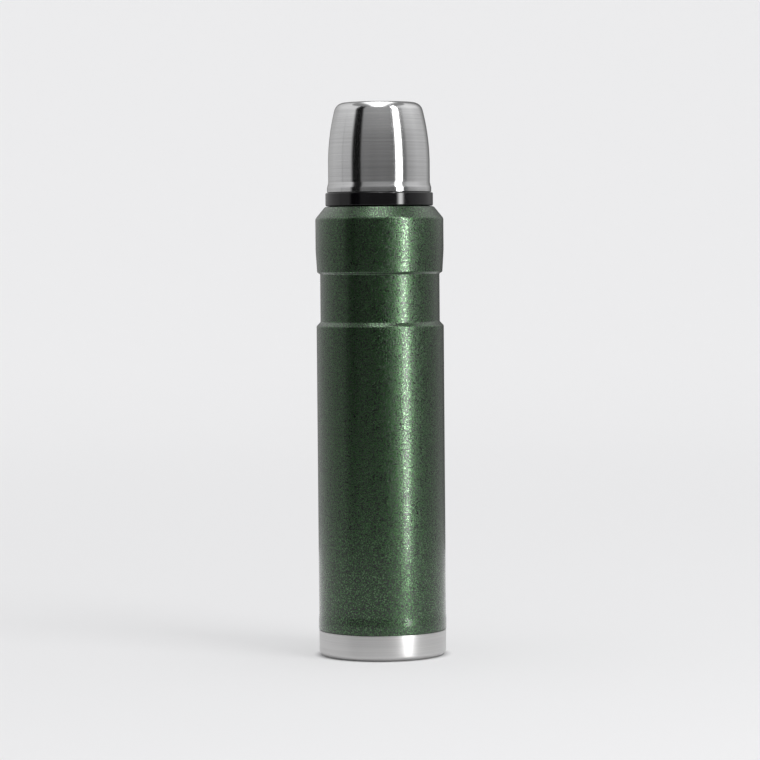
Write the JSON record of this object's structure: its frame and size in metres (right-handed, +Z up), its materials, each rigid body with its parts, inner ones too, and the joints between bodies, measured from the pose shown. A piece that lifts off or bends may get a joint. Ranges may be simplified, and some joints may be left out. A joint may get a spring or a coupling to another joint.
{
  "type": "vacuum flask",
  "caption": "Double-walled steel vacuum flask with a brushed screw cup, a push-button stopper with a valve, a painted waisted body and a bare steel foot.",
  "frame": {"origin": "centre of the foot, on the surface that the flask stands on", "axes": "+Z up along the flask's centre line; the pouring side faces -Y"},
  "size_m": [0.0756, 0.0756, 0.326],
  "materials": {
    "green_paint": "hammertone green paint",
    "bottle_steel": "electropolished stainless steel",
    "copper": "bright copper foil",
    "getter_metal": "sintered metal tablet",
    "closure_steel": "plain stainless sheet",
    "solder": "bright solder",
    "foot_steel": "brushed stainless steel",
    "black_gloss": "glossy black moulding",
    "cover_black": "satin black moulding",
    "gasket_silicone": "translucent grey silicone",
    "plug_silicone": "translucent grey silicone",
    "stem_silicone": "translucent grey silicone",
    "cage_plastic": "black moulding",
    "valve_plastic": "black moulding",
    "valve_silicone": "translucent grey silicone",
    "stem_steel": "ground stainless steel",
    "button_plastic": "satin black moulding",
    "spring_steel": "stainless spring wire",
    "slider_plastic": "grey moulding",
    "latch_spring_steel": "stainless spring wire",
    "cup_steel": "brushed stainless steel",
    "liner_plastic": "black moulding",
    "rim_silicone": "black silicone",
    "cup_silicone": "translucent grey silicone"
  },
  "bodies": {
    "vessel": {"outer_shell": "green_paint", "shoulder_shell": "green_paint", "inner_bottom": "bottle_steel", "inner_corner": "bottle_steel", "inner_tube": "bottle_steel", "inner_shoulder": "bottle_steel", "inner_neck": "bottle_steel", "copper_foil": "copper", "getter": "getter_metal", "shell_bottom": "closure_steel", "vacuum_seal": "solder", "base_cup": "foot_steel"},
    "stopper_gasket": {"mouth_gasket": "gasket_silicone"},
    "stopper_seal_ring": {"plug_seal": "plug_silicone"},
    "stopper": {"stopper_housing": "black_gloss", "stopper_cover": "cover_black", "valve_cage": "cage_plastic", "stem_seal": "stem_silicone", "return_spring": "spring_steel", "latch_spring": "latch_spring_steel"},
    "button_and_valve": {"push_button": "button_plastic", "valve_stem": "stem_steel", "valve_disc": "valve_plastic", "valve_seal": "valve_silicone"},
    "latch": {"release_slider": "slider_plastic"},
    "cup_washer": {"cup_seal": "cup_silicone"},
    "cup_ring": {"cup_shell_seal": "rim_silicone"},
    "cup": {"cup_shell": "cup_steel", "cup_liner": "liner_plastic"}
  },
  "joints": [
    {"name": "stopper_lift_off", "type": "slide", "parent": "vessel", "child": "stopper_gasket", "axis": [0, 0, 1], "range_m": [0, 0.025]},
    {"name": "stopper_thread_rise", "type": "slide", "parent": "stopper_gasket", "child": "stopper_seal_ring", "axis": [0, 0, 1], "range_m": [0, 0.005]},
    {"name": "stopper_turn", "type": "hinge", "parent": "stopper_seal_ring", "child": "stopper", "pos_m": [0, 0, 0.2722], "axis": [0, 0, 1], "range_deg": [0, 450]},
    {"name": "button_press", "type": "slide", "parent": "stopper", "child": "button_and_valve", "axis": [0, 0, -1], "range_m": [0, 0.004], "stiffness_N_per_m": 1200, "springref_m": -0.002, "deforming": ["return_spring"]},
    {"name": "latch_slide", "type": "slide", "parent": "stopper", "child": "latch", "axis": [0, 1, 0], "range_m": [0, 0.0015], "stiffness_N_per_m": 600, "springref_m": -0.001, "deforming": ["latch_spring"]},
    {"name": "cup_lift_off", "type": "slide", "parent": "stopper", "child": "cup_washer", "axis": [0, 0, 1], "range_m": [0, 0.013]},
    {"name": "cup_thread_rise", "type": "slide", "parent": "cup_washer", "child": "cup_ring", "axis": [0, 0, 1], "range_m": [0, 0.005]},
    {"name": "cup_turn", "type": "hinge", "parent": "cup_ring", "child": "cup", "pos_m": [0, 0, 0.2729], "axis": [0, 0, 1], "range_deg": [0, 450]}
  ],
  "couplings": [
    {"joint": "stopper_thread_rise", "follows": "stopper_turn", "m_per_rad": 0.0006366},
    {"joint": "cup_thread_rise", "follows": "cup_turn", "m_per_rad": 0.0006366}
  ]
}
